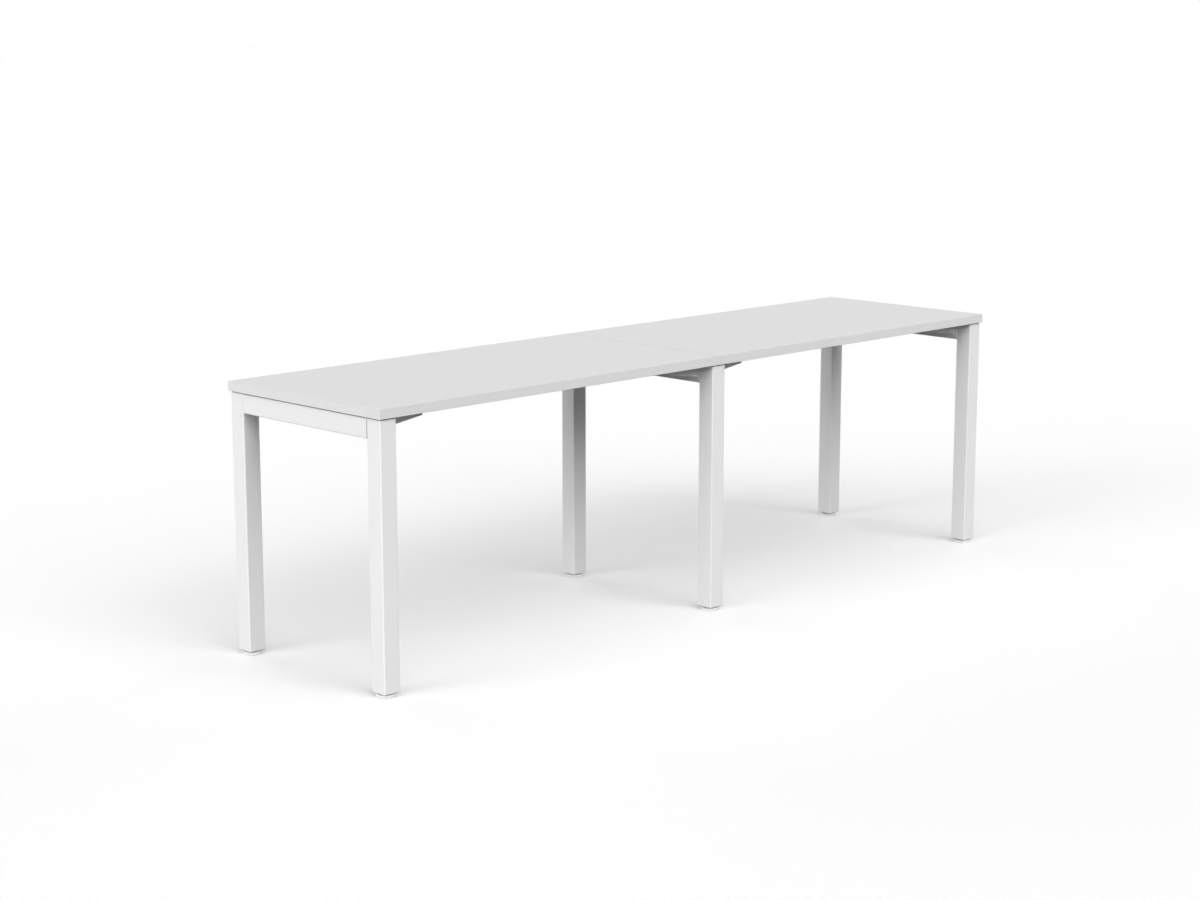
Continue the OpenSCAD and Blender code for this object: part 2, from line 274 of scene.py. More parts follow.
def helix(core_radius, crest_radius, pitch, low, high, steps=20):
    """Ridge of a screw thread, wound round Z from one height to another."""
    shape = bmesh.new()
    turns = (high - low - pitch) / pitch
    count = max(steps, round(turns * steps))
    foot, crest = pitch * 0.44, pitch * 0.07
    root = core_radius * 0.96
    profile = [(root, -foot), (crest_radius, -crest), (crest_radius, crest), (root, foot)]
    verts = [shape.verts.new((r, 0.0, low + pitch / 2 + z)) for r, z in profile]
    face = shape.faces.new(verts)
    bmesh.ops.spin(shape, geom=[face, *face.edges, *verts], axis=(0, 0, 1), cent=(0, 0, 0),
                   dvec=(0, 0, turns * pitch / count), angle=FULL_TURN * turns, steps=count,
                   use_duplicate=False, use_merge=False)
    bmesh.ops.recalc_face_normals(shape, faces=shape.faces[:])
    return shape


def tube(low, high, axis, corner):
    """Rectangular hollow section that fills the box between two corners, open at both ends."""
    shape = block(low, high)
    round_edges(shape, edges_along(shape, axis), corner, CORNER_STEPS)
    ends = faces_across(shape, axis)
    bmesh.ops.inset_region(shape, faces=ends, thickness=TUBE_WALL, use_even_offset=True, use_boundary=True)
    rims = list(dict.fromkeys(e for f in ends for e in f.edges))
    bmesh.ops.delete(shape, geom=ends, context="FACES_ONLY")
    bmesh.ops.bridge_loops(shape, edges=rims)
    bmesh.ops.recalc_face_normals(shape, faces=shape.faces[:])
    return shape


def weld_bead(start, end, radius=BEAD_SIZE / 2):
    """Rippled bead of weld between two points."""
    shape = bmesh.new()
    run = end - start
    turn = run.to_track_quat("Z", "Y").to_matrix().to_4x4()
    rings = 2 * max(2, round(run.length / BEAD_RIPPLE))
    bmesh.ops.create_circle(shape, cap_ends=True, segments=8, radius=radius * BEAD_END,
                            matrix=Matrix.Translation(start) @ turn)
    tip = shape.faces[:][0]
    old_size = BEAD_END
    for ring in range(1, rings + 1):
        grown = bmesh.ops.extrude_face_region(shape, geom=[tip])["geom"]
        tip = [part for part in grown if isinstance(part, bmesh.types.BMFace)][0]
        place = start + run * ring / rings
        size = BEAD_END if ring == rings else (1.0 if ring % 2 else BEAD_WAIST)
        bmesh.ops.translate(shape, verts=tip.verts[:], vec=run / rings)
        bmesh.ops.scale(shape, verts=tip.verts[:], vec=Vector((1, 1, 1)) * size / old_size,
                        space=Matrix.Translation(-place))
        old_size = size
    bmesh.ops.recalc_face_normals(shape, faces=shape.faces[:])
    return shape


def joined(*shapes):
    """One shape of several, which are used up."""
    whole = bmesh.new()
    for shape in shapes:
        mesh = bpy.data.meshes.new("part")
        shape.to_mesh(mesh)
        shape.free()
        whole.from_mesh(mesh)
        bpy.data.meshes.remove(mesh)
    return whole


def placed(shape, place, turn=None):
    """Turns a shape about the origin and moves it to its place."""
    matrix = Matrix.Translation(place)
    if turn is not None:
        matrix = matrix @ turn.to_4x4()
    bmesh.ops.transform(shape, matrix=matrix, verts=shape.verts[:])
    return shape


def copies(shape, places):
    """One shape repeated at (place, turn) pairs; the shape is used up."""
    made = [placed(shape.copy(), place, turn) for place, turn in places]
    shape.free()
    return joined(*made)


def cut_away(shape, cutter):
    """The shape less the cutter; both are used up."""
    objects = []
    for name, solid in (("whole", shape), ("cutter", cutter)):
        mesh = bpy.data.meshes.new(name)
        solid.to_mesh(mesh)
        solid.free()
        objects.append(bpy.data.objects.new(name, mesh))
        bpy.context.scene.collection.objects.link(objects[-1])
    cut = objects[0].modifiers.new("cut", "BOOLEAN")
    cut.operation = "DIFFERENCE"
    cut.solver = "EXACT"
    cut.object = objects[1]
    ready = objects[0].evaluated_get(bpy.context.evaluated_depsgraph_get())
    result = bmesh.new()
    result.from_mesh(ready.to_mesh())
    ready.to_mesh_clear()
    for made in objects:
        mesh = made.data
        bpy.data.objects.remove(made)
        bpy.data.meshes.remove(mesh)
    return result


def rod(radius, start, end, segments=24):
    """Plain round cutter between two points."""
    shape = bmesh.new()
    run = end - start
    turn = run.to_track_quat("Z", "Y").to_matrix().to_4x4()
    bmesh.ops.create_cone(shape, cap_ends=True, segments=segments, radius1=radius, radius2=radius,
                          depth=run.length, matrix=Matrix.Translation((start + end) / 2) @ turn)
    return shape


# Finishes

def node_finish(name):
    """Empty node material with its shader and object coordinates."""
    finish = bpy.data.materials.new(name)
    finish.use_nodes = True
    nodes = finish.node_tree.nodes
    shader = nodes["Principled BSDF"]
    place = nodes.new("ShaderNodeTexCoord")
    return finish, shader, place.outputs["Object"]


def grain(finish, coordinates, scale, detail=2.0, roughness=0.5):
    """Noise of one grain size; the scale is grains per metre."""
    noise = finish.node_tree.nodes.new("ShaderNodeTexNoise")
    noise.inputs["Scale"].default_value = scale
    noise.inputs["Detail"].default_value = detail
    noise.inputs["Roughness"].default_value = roughness
    finish.node_tree.links.new(coordinates, noise.inputs["Vector"])
    return noise.outputs["Fac"]


def spread(finish, factor, low, high, socket):
    """Spreads a grain over a range of values and gives it to a shader socket."""
    nodes, links = finish.node_tree.nodes, finish.node_tree.links
    ramp = nodes.new("ShaderNodeMapRange")
    ramp.inputs["From Min"].default_value = 0.3
    ramp.inputs["From Max"].default_value = 0.7
    ramp.inputs["To Min"].default_value = low
    ramp.inputs["To Max"].default_value = high
    links.new(factor, ramp.inputs["Value"])
    links.new(ramp.outputs["Result"], socket)


def tint(finish, factor, dark, light, socket):
    """Mixes two close colours by a grain and gives the mix to a socket."""
    nodes, links = finish.node_tree.nodes, finish.node_tree.links
    mix = nodes.new("ShaderNodeMix")
    mix.data_type = "RGBA"
    mix.inputs["A"].default_value = (*dark, 1.0)
    mix.inputs["B"].default_value = (*light, 1.0)
    links.new(factor, mix.inputs["Factor"])
    links.new(mix.outputs["Result"], socket)
    return mix


def along(finish, coordinates, axis, near, far):
    """0 up to one distance from the origin along an axis and 1 past another, on either side of it."""
    nodes, links = finish.node_tree.nodes, finish.node_tree.links
    split = nodes.new("ShaderNodeSeparateXYZ")
    links.new(coordinates, split.inputs["Vector"])
    reach = nodes.new("ShaderNodeMath")
    reach.operation = "ABSOLUTE"
    links.new(split.outputs[axis], reach.inputs[0])
    ramp = nodes.new("ShaderNodeMapRange")
    ramp.inputs["From Min"].default_value = near
    ramp.inputs["From Max"].default_value = far
    links.new(reach.outputs["Value"], ramp.inputs["Value"])
    return ramp.outputs["Result"]


def relief(finish, heights, shader):
    """Bumps a surface by a list of (grain, height in metres)."""
    nodes, links = finish.node_tree.nodes, finish.node_tree.links
    last = None
    for factor, height in heights:
        bump = nodes.new("ShaderNodeBump")
        bump.inputs["Strength"].default_value = 1.0
        bump.inputs["Distance"].default_value = height
        links.new(factor, bump.inputs["Height"])
        if last is not None:
            links.new(last.outputs["Normal"], bump.inputs["Normal"])
        last = bump
    links.new(last.outputs["Normal"], shader.inputs["Normal"])


def grey(level):
    """Neutral colour of one level."""
    return (level, level, level)


def melamine_finish():
    """Matt white melamine with a fine pearl grain."""
    finish, shader, place = node_finish("white_melamine_board")
    pearl = grain(finish, place, 900.0, detail=3.0)
    mottle = grain(finish, place, 9.0)
    tint(finish, mottle, *map(grey, BOARD_WHITE), shader.inputs["Base Color"])
    spread(finish, pearl, 0.66, 0.78, shader.inputs["Roughness"])
    shader.inputs["Specular IOR Level"].default_value = 0.12
    relief(finish, [(pearl, 0.00004)], shader)
    return finish


def edge_band_finish():
    """Matt white plastic band, smoother than the board's faces, with painted shade that darkens it to the
    board's white on top.
    """
    finish, shader, place = node_finish("white_edge_band")
    skin = grain(finish, place, 650.0, detail=2.0)
    mottle = grain(finish, place, 14.0)
    mottled = tint(finish, mottle, *map(grey, BAND_WHITE), shader.inputs["Base Color"])
    # Painted shade on the band's top, darker than its sides
    top_shade = along(finish, place, "Z", cad_high.z - BAND_TOP_SHADE_DEPTH, cad_high.z - BAND_TOP_SHADE_DEPTH / 2)
    for side, band_white, shaded_white in zip("AB", BAND_WHITE, BAND_TOP_SHADE_WHITE):
        tint(finish, top_shade, grey(band_white), grey(shaded_white), mottled.inputs[side])
    spread(finish, skin, 0.40, 0.48, shader.inputs["Roughness"])
    shader.inputs["Specular IOR Level"].default_value = 0.3
    relief(finish, [(skin, 0.00002)], shader)
    return finish


def seam_band_finish():
    """Edge band at the seam, a darker copy of the band in the board's own white, its butting arrises grey
    with painted shade.
    """
    finish, shader, place = node_finish("white_edge_band_seam")
    skin = grain(finish, place, 650.0, detail=2.0)
    # Painted shade, darkest at the butt joint
    beyond_shade = along(finish, place, "X", SEAM_SHADE_REACH * 0.6, SEAM_SHADE_REACH)
    tint(finish, beyond_shade, *map(grey, SEAM_SHADE_WHITE), shader.inputs["Base Color"])
    spread(finish, skin, 0.60, 0.70, shader.inputs["Roughness"])
    shader.inputs["Specular IOR Level"].default_value = 0.12
    relief(finish, [(skin, 0.00002)], shader)
    return finish


def powder_coat_finish(name, level):
    """Satin powder coat of one white, with a faint orange-peel skin over fine grain."""
    finish, shader, place = node_finish(name)
    peel = grain(finish, place, 320.0, detail=1.0)
    fine = grain(finish, place, 1500.0, detail=2.0)
    drift = grain(finish, place, 6.0)
    tint(finish, drift, grey(level - 0.006), grey(level + 0.006), shader.inputs["Base Color"])
    spread(finish, fine, 0.29, 0.38, shader.inputs["Roughness"])
    shader.inputs["Specular IOR Level"].default_value = 0.5
    relief(finish, [(peel, 0.00005), (fine, 0.00001)], shader)
    return finish


def zinc_finish():
    """Bright zinc plate with faint cloudy passivation."""
    finish, shader, place = node_finish("zinc_plated_steel")
    cloud = grain(finish, place, 260.0, detail=4.0)
    fine = grain(finish, place, 2500.0)
    tint(finish, cloud, (0.60, 0.61, 0.63), (0.74, 0.74, 0.73), shader.inputs["Base Color"])
    shader.inputs["Metallic"].default_value = 1.0
    spread(finish, cloud, 0.24, 0.38, shader.inputs["Roughness"])
    relief(finish, [(fine, 0.000008)], shader)
    return finish


def rubber_finish():
    """Matt black rubber with a dusty bloom."""
    finish, shader, place = node_finish("black_rubber")
    bloom = grain(finish, place, 180.0, detail=4.0)
    fine = grain(finish, place, 1800.0)
    tint(finish, bloom, grey(0.020), grey(0.036), shader.inputs["Base Color"])
    spread(finish, bloom, 0.72, 0.86, shader.inputs["Roughness"])
    shader.inputs["Specular IOR Level"].default_value = 0.3
    relief(finish, [(fine, 0.00003)], shader)
    return finish


def moulded_finish(name, level, smooth, rough, texture):
    """Moulded plastic: one grey, a spark-eroded skin and a gloss between two roughnesses."""
    finish, shader, place = node_finish(name)
    skin = grain(finish, place, texture, detail=3.0)
    flow = grain(finish, place, 40.0)
    tint(finish, flow, grey(level * 0.985), grey(level * 1.015), shader.inputs["Base Color"])
    spread(finish, skin, smooth, rough, shader.inputs["Roughness"])
    shader.inputs["Specular IOR Level"].default_value = 0.5
    relief(finish, [(skin, 0.00002)], shader)
    return finish


FINISHES = {
    "white_melamine_board": melamine_finish(),
    "white_edge_band": edge_band_finish(),
    "white_powder_coat": powder_coat_finish("white_powder_coat", level=0.945),
    "white_beam_coat": powder_coat_finish("white_beam_coat", level=0.88),
    "zinc_plated_steel": zinc_finish(),
    "black_rubber": rubber_finish(),
    # The caps' near-black partly paints the shade of the gap under the worktops
    "black_cap_plastic": moulded_finish(
        "black_cap_plastic", level=0.05, smooth=0.50, rough=0.64, texture=1400.0),
    "grey_insert_plastic": moulded_finish(
        "grey_insert_plastic", level=0.40, smooth=0.42, rough=0.56, texture=1400.0),
    "white_foot_plastic": moulded_finish(
        "white_foot_plastic", level=0.92, smooth=0.22, rough=0.30, texture=900.0),
}
SEAM_BAND = seam_band_finish()


def dress(name, shape, slot, body, *nodes):
    """Makes a shape a shown piece in place of CAD nodes, in its finish and on its body."""
    for face in shape.faces:
        face.smooth = True
    mesh = bpy.data.meshes.new(name)
    shape.to_mesh(mesh)
    shape.free()
    mesh.set_sharp_from_angle(angle=SHADED_EDGE)
    mesh.materials.append(FINISHES[slot])
    piece = bpy.data.objects.new(name, mesh)
    bpy.context.scene.collection.objects.link(piece)
    shading = piece.modifiers.new("flat_faces", "WEIGHTED_NORMAL")
    shading.keep_sharp = True
    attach(piece, body)
    if nodes:
        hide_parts(*nodes)
    return piece


# Worktops

def arms_of(bay):
    """The four arms that carry one worktop."""
    return [f"{bay}_{end}_arm" for end in ENDS] + [f"centre_{end}_{bay}_arm" for end in ENDS]


def screw_places(bay):
    """Where the arm screws of one worktop pass its underside."""
    places = []
    for arm in arms_of(bay):
        low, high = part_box(arm)
        for x in (low.x + ARM_SCREW_EDGE, high.x - ARM_SCREW_EDGE):
            places.append(Vector((x, (low.y + high.y) / 2, high.z)))
    return places


def worktop_board(bay):
    """Melamine-faced board with pilot holes for its arm screws."""
    low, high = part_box(f"{bay}_worktop")
    shape = block(low, high)
    round_edges(shape, shape.edges[:], BOARD_ARRIS, 2)
    holes = [rod(PILOT_HOLE / 2, place - UP * DRILL_PAST, place + UP * PILOT_DEPTH)
             for place in screw_places(bay)]
    shape = cut_away(shape, joined(*holes))
    dress(f"{bay}_worktop_board", shape, "white_melamine_board", "desk", f"{bay}_worktop")


def edge_band(bay, edge):
    """Band glued to one edge of a board, its outer arrises rounded.

    The long bands cover the cross bands' ends.
    """
    node = f"{bay}_{edge}_edge_band"
    low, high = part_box(node)
    board_low, board_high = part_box(f"{bay}_worktop")
    axis = 1 if edge in ENDS else 0
    glue = high[axis] if high[axis] < (board_low + board_high)[axis] / 2 else low[axis]
    shape = block(low, high)
    arrises = [e for e in shape.edges if any(abs(v.co[axis] - glue) > TOUCH for v in e.verts)]
    if edge in ENDS:
        seam_ends = [e for e in edges_along(shape, "Z") if abs(e.verts[0].co.x) < SEAM_SHADE_REACH]
        arrises = [e for e in arrises if e not in seam_ends]
    else:
        long_edges = edges_along(shape, "Y")
        arrises = [e for e in arrises if e in long_edges]
    round_edges(shape, arrises, SEAM_ARRIS if edge == "inner" else BAND_ARRIS, BAND_STEPS)
    strip = dress(f"{bay}_{edge}_edge_strip", shape, "white_edge_band", "desk", node)
    # The seam bands take a darker copy of the band's white, with painted shade at the joint
    if edge == "inner":
        strip.data.materials[0] = SEAM_BAND


# Leg frames

def leg(end, side):
    """Square-tube leg."""
    node = f"{end}_{side}_leg"
    shape = tube(*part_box(node), "Z", TUBE_CORNER)
    soften(shape, TUBE_RIM)
    dress(f"{node}_tube", shape, "white_powder_coat", "desk", node)


def rail_faces(side):
    """The ways in which a rail's bored faces look: into the bays beside it."""
    return {"left": (1,), "centre": (-1, 1), "right": (-1,)}[side]


def nut_places(side, way):
    """Axes of the rivet nuts on one face of a rail, on the face."""
    low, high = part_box(f"{side}_rail")
    x = high.x if way > 0 else low.x
    bay = side if side != "centre" else ("left" if way < 0 else "right")
    places = []
    for end in ENDS:
        plate_low, plate_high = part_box(f"{bay}_{end}_beam_plates")
        for across in (-1, 1):
            y = (plate_low.y + plate_high.y) / 2 + across * BOLT_PITCH / 2
            places.append(Vector((x, y, (plate_low.z + plate_high.z) / 2)))
    return places


def rail(side):
    """Square-tube rail between two legs, bored for its rivet nuts and welded at both ends."""
    node = f"{side}_rail"
    low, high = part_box(node)
    reveal = AXES["Y"] * REVEAL
    shape = tube(low + reveal, high - reveal, "Y", TUBE_CORNER)
    soften(shape, TUBE_RIM)
    for way in rail_faces(side):
        inward = AXES["X"] * way
        depth = inward * (TUBE_WALL + DRILL_PAST)
        holes = [rod(NUT_BARREL / 2 + RUN_GAP, place + inward * DRILL_PAST, place - depth)
                 for place in nut_places(side, way)]
        shape = cut_away(shape, joined(*holes))
    beads = []
    for y, inner in ((low.y, 1), (high.y, -1)):
        below = Vector(((low.x + high.x) / 2, y + inner * BEAD_SINK, low.z - BEAD_SINK))
        half = AXES["X"] * ((high.x - low.x) / 2 - TUBE_CORNER)
        beads.append(weld_bead(below - half, below + half))
        for way in rail_faces(side):
            x = (high.x if way > 0 else low.x) - way * BEAD_SINK
            beside = Vector((x, y + inner * BEAD_SINK, 0))
            bottom, top = low.z + TUBE_CORNER, high.z - TUBE_CORNER
            beads.append(weld_bead(beside + UP * bottom, beside + UP * top))
    dress(f"{node}_tube", joined(shape, *beads), "white_powder_coat", "desk", node)


def rail_joint_shade_lines(side):
    """Grey pieces between a rail's ends and the legs, whose grey is painted shade; each shows as a fine
    dark line in the joint.
    """
    low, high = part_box(f"{side}_rail")
    inset = Vector((SHADE_LINE_INSET, 0, SHADE_LINE_INSET))
    shade_pieces = []
    for near, far in ((low.y, low.y + SHADE_LINE_THICK), (high.y - SHADE_LINE_THICK, high.y)):
        shape = block(Vector((low.x, near, low.z)) + inset, Vector((high.x, far, high.z)) - inset)
        round_edges(shape, edges_along(shape, "Y"), TUBE_CORNER - SHADE_LINE_INSET, CORNER_STEPS)
        shade_pieces.append(shape)
    dress(f"{side}_rail_joint_shade_lines", joined(*shade_pieces), "grey_insert_plastic", "desk")


# Support arms

def arm_way(node):
    """1 where an arm reaches to the right of its rail, -1 where it reaches to the left."""
    return 1 if node.startswith("left") or node.endswith("_right_arm") else -1


def support_arm(node):
    """Arm folded from sheet, deepest at its rail and open below, stitched to the rail by two welds."""
    low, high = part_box(node)
    way = arm_way(node)
    root_x = low.x if way > 0 else high.x
    tip_x = high.x if way > 0 else low.x
    shape = block(low, high)
    folds = [e for e in edges_along(shape, "X") if e.verts[0].co.z > high.z - TOUCH]
    round_edges(shape, folds, ARM_BEND, CORNER_STEPS)
    cut_faces = [f for f in shape.faces if abs(f.normal.x) > STRAIGHT or f.normal.z < -STRAIGHT]
    bmesh.ops.delete(shape, geom=cut_faces, context="FACES")
    rise = (high.z - low.z) - ARM_TIP_DEPTH
    slope = Vector((way * rise, 0, -(high.x - low.x))).normalized()
    bmesh.ops.bisect_plane(shape, geom=shape.verts[:] + shape.edges[:] + shape.faces[:],
                           plane_co=(root_x, 0, low.z), plane_no=slope, clear_outer=True)
    lowest_tip = high.z - ARM_TIP_DEPTH
    corners = [v for v in shape.verts
               if abs(v.co.x - tip_x) < NEAR and abs(v.co.z - lowest_tip) < NEAR]
    bmesh.ops.bevel(shape, geom=corners, offset=ARM_TIP_CORNER, offset_type="OFFSET", affect="VERTICES",
                    segments=4, profile=0.5, material=-1)
    bmesh.ops.recalc_face_normals(shape, faces=shape.faces[:])
    if sum(f.normal.z * f.calc_area() for f in shape.faces) < 0:
        bmesh.ops.reverse_faces(shape, faces=shape.faces[:])
    bmesh.ops.solidify(shape, geom=shape.faces[:], thickness=ARM_SHEET)
    bmesh.ops.recalc_face_normals(shape, faces=shape.faces[:])
    soften(shape, SHEET_ARRIS)
    middle = (low.y + high.y) / 2
    holes = []
    for x in (low.x + ARM_SCREW_EDGE, high.x - ARM_SCREW_EDGE):
        place = Vector((x, middle, high.z))
        depth = UP * (ARM_SHEET + CUT_PAST)
        holes.append(rod(SCREW_THREAD / 2 + HOLE_GAP, place + UP * CUT_PAST, place - depth))
    shape = cut_away(shape, joined(*holes))
    beads = []
    for y in (low.y - BEAD_SINK, high.y + BEAD_SINK):
        foot = Vector((root_x + way * BEAD_SINK, y, low.z + STITCH_START))
        beads.append(weld_bead(foot, foot + UP * STITCH))
    dress(f"{node}_fold", joined(shape, *beads), "white_powder_coat", "desk", node)


# Long beams

def beam(bay, end):
    """Rectangular tube beam, welded all round to its end plates."""
    node = f"{bay}_{end}_beam"
    low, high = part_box(node)
    shape = tube(low, high, "X", BEAM_CORNER)
    beads = []
    front, rear = low.y + BEAM_CORNER, high.y - BEAM_CORNER
    bottom, top = low.z + BEAM_CORNER, high.z - BEAM_CORNER
    for x in (low.x + BEAD_SINK, high.x - BEAD_SINK):
        for y in (low.y - BEAD_SINK, high.y + BEAD_SINK):
            beads.append(weld_bead(Vector((x, y, bottom)), Vector((x, y, top))))
        for z in (low.z - BEAD_SINK, high.z + BEAD_SINK):
            beads.append(weld_bead(Vector((x, front, z)), Vector((x, rear, z))))
    dress(f"{node}_tube", joined(shape, *beads), "white_beam_coat", "desk", node)


def beam_plates(bay, end):
    """The two bored end plates of a beam."""
    node = f"{bay}_{end}_beam_plates"
    low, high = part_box(node)
    plates = []
    for near, far in ((low.x, low.x + PLATE_THICK), (high.x - PLATE_THICK, high.x)):
        shape = block(Vector((near, low.y, low.z)), Vector((far, high.y, high.z)))
        round_edges(shape, edges_along(shape, "X"), PLATE_CORNER, CORNER_STEPS)
        soften(shape, PLATE_ARRIS)
        holes = []
        for across in (-1, 1):
            y = (low.y + high.y) / 2 + across * BOLT_PITCH / 2
            z = (low.z + high.z) / 2
            ends = [Vector((x, y, z)) for x in (near - CUT_PAST, far + CUT_PAST)]
            holes.append(rod(BOLT_THREAD / 2 + HOLE_GAP, *ends))
        plates.append(cut_away(shape, joined(*holes)))
    dress(f"{node}_pair", joined(*plates), "white_beam_coat", "desk", node)


def rail_face_spots():
    """(place on the rail's face, turn that points +Z out of it) for every beam bolt."""
    spots = []
    for side in SIDES:
        for way in rail_faces(side):
            turn = Matrix.Rotation(way * math.pi / 2, 3, "Y")
            spots += [(place, turn) for place in nut_places(side, way)]
    return spots


def flange_bolt():
    """Flanged hexagon bolt, its seat on z = 0 and its thread along -Z."""
    core = BOLT_THREAD / 2 - THREAD_DEPTH * BOLT_THREAD_PITCH
    rim = BOLT_FLANGE / 2
    flange = turned([(0, 0), (rim - 0.0002, 0), (rim, 0.0003), (rim, 0.0009), (rim - 0.0004, 0.0012),
                     (0.0062, 0.0019), (0, 0.0019)])
    head = hexagon(BOLT_ACROSS_FLATS, BOLT_HEAD, chamfer=0.0007)
    shank = turned([(0, 0.001), (core, 0.001), (core, 0.0008 - BOLT_SHANK), (core - 0.0008, -BOLT_SHANK),
                    (0, -BOLT_SHANK)], 24)
    thread = helix(core, BOLT_THREAD / 2, BOLT_THREAD_PITCH, 0.0004 - BOLT_SHANK, 0)
    return joined(flange, head, shank, thread)


def beam_bolts():
    """The bolts that hold the end plates to the rails."""
    seat = UP * (NUT_FLANGE_THICK + PLATE_THICK)
    spots = [(place + turn @ seat, turn) for place, turn in rail_face_spots()]
    dress("beam_bolt_set", copies(flange_bolt(), spots), "zinc_plated_steel", "desk", "beam_bolts")


def rivet_nut():
    """Rivet nut, its flange on z = 0 and its set bulge behind the tube's wall."""
    bore = BOLT_THREAD / 2 + RUN_GAP
    barrel, flange = NUT_BARREL / 2, NUT_FLANGE / 2
    end_of_barrel = [(bore, NUT_FLANGE_THICK), (bore, -NUT_LENGTH), (barrel - 0.0004, -NUT_LENGTH),
                     (barrel, -NUT_LENGTH + 0.0004)]
    bulge = [(barrel, -0.0062), (barrel + 0.0013, -0.0050), (barrel + 0.0016, -0.0036),
             (barrel + 0.0012, -0.0024), (barrel, -TUBE_WALL - RUN_GAP)]
    rim = [(barrel, 0), (flange - 0.0002, 0), (flange, 0.0002), (flange, NUT_FLANGE_THICK - 0.0002),
           (flange - 0.0002, NUT_FLANGE_THICK)]
    return turned(end_of_barrel + bulge + rim)


def rivet_nuts():
    """The rivet nuts in the rails."""
    nuts = copies(rivet_nut(), rail_face_spots())
    dress("rivet_nut_set", nuts, "zinc_plated_steel", "desk", "rivet_nuts")


def beam_buffers():
    """Rubber buffers that fill the space between the beams and the worktops."""
    low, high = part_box("beam_buffers")
    height = high.z - low.z
    radius = BUFFER / 2
    outline = [(0, 0)] + arc((radius - BUFFER_ROUND, BUFFER_ROUND), BUFFER_ROUND, -90, 0, 4)
    outline += [(radius - 0.0006, height / 2)]
    outline += arc((radius - BUFFER_ROUND, height - BUFFER_ROUND), BUFFER_ROUND, 0, 90, 4)
    outline += [(0.003, height), (0.0025, height - 0.002), (0, height - 0.002)]
    spots = []
    for bay in BAYS:
        for end in ENDS:
            beam_low, beam_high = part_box(f"{bay}_{end}_beam")
            middle = (beam_low + beam_high) / 2
            for across in (-1, 1):
                spots.append((Vector((middle.x + across * BUFFER_PITCH / 2, middle.y, low.z)), None))
    dress("beam_buffer_set", copies(turned(outline), spots), "black_rubber", "desk", "beam_buffers")


def pan_head_screw():
    """Pan-head wood screw with a cross recess, its seat on z = 0 and its point along +Z."""
    head_radius = SCREW_HEAD / 2
    dome = [(0, -SCREW_HEAD_RISE), (head_radius * 0.42, -SCREW_HEAD_RISE * 0.985)]
    dome += arc((head_radius - 0.0016, -SCREW_HEAD_RISE + 0.0016), 0.0015, -80, 0, 5)
    dome += [(head_radius, -0.0002), (head_radius - 0.0002, 0), (0, 0)]
    head = turned(dome)
    above = -SCREW_HEAD_RISE - CUT_PAST
    for x, y in ((RECESS_REACH, RECESS_WIDTH / 2), (RECESS_WIDTH / 2, RECESS_REACH)):
        head = cut_away(head, block(Vector((-x, -y, above)), Vector((x, y, RECESS_FLOOR))))
    shank = turned([(0, -0.0005), (SCREW_CORE, -0.0005), (SCREW_CORE, SCREW_LENGTH - 0.005),
                    (0.0002, SCREW_LENGTH), (0, SCREW_LENGTH)], 20)
    thread = helix(SCREW_CORE, SCREW_THREAD / 2, SCREW_THREAD_PITCH, ARM_SHEET, SCREW_LENGTH - 0.0045, 16)
    return joined(head, shank, thread)


def worktop_screws(bay):
    """The screws that hold one worktop to its arms."""
    spots = [(place - UP * ARM_SHEET, None) for place in screw_places(bay)]
    dress(f"{bay}_worktop_screw_set", copies(pan_head_screw(), spots), "zinc_plated_steel", "desk",
          f"{bay}_worktop_screws")


# Caps, inserts and feet

def ring_plate(low, high, corner, arris, bore=0.0):
    """Flat plate with rounded corners and arrises, and a round bore up its middle."""
    shape = block(low, high)
    round_edges(shape, edges_along(shape, "Z"), corner, CORNER_STEPS)
    soften(shape, arris)
    if bore:
        middle = (low + high) / 2
        reach = UP * (high.z - low.z)
        shape = cut_away(shape, rod(bore, middle - reach, middle + reach, 48))
    return shape


def leg_top_caps():
    """Plastic caps in the leg tops, filling the shadow gap under the worktops; their near-black also stands
    in for the gap's shade.
    """
    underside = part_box("left_worktop")[0].z
    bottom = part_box("leg_top_caps")[0].z
    caps = []
    for side in SIDES:
        for end in ENDS:
            low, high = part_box(f"{end}_{side}_leg")
            rim, wall = CAP_INSET, TUBE_WALL + PLUG_GAP
            cap_low = Vector((low.x + rim, low.y + rim, high.z))
            cap_high = Vector((high.x - rim, high.y - rim, underside))
            caps.append(ring_plate(cap_low, cap_high, TUBE_CORNER, MOULDED_ARRIS))
            plug_low = Vector((low.x + wall, low.y + wall, bottom))
            plug_high = Vector((high.x - wall, high.y - wall, (high.z + underside) / 2))
            caps.append(tube(plug_low, plug_high, "Z", PLUG_CORNER))
    dress("leg_cap_set", joined(*caps), "black_cap_plastic", "desk", "leg_top_caps")


def rail_top_strips():
    """Rubber strips on the rails, filling the shadow gap under the worktops; their black also stands in for
    the gap's shade.
    """
    node_low, node_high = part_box("rail_top_strips")
    strips = []
    for side in SIDES:
        rail_low, rail_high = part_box(f"{side}_rail")
        middle = (rail_low.x + rail_high.x) / 2
        half = rail_high.x - STRIP_INSET - middle
        shape = block(Vector((middle - half, node_low.y, node_low.z)),
                      Vector((middle + half, node_high.y, node_high.z)))
        round_edges(shape, edges_along(shape, "Y"), STRIP_ARRIS, 3)
        strips.append(shape)
    dress("rail_strip_set", joined(*strips), "black_rubber", "desk", "rail_top_strips")


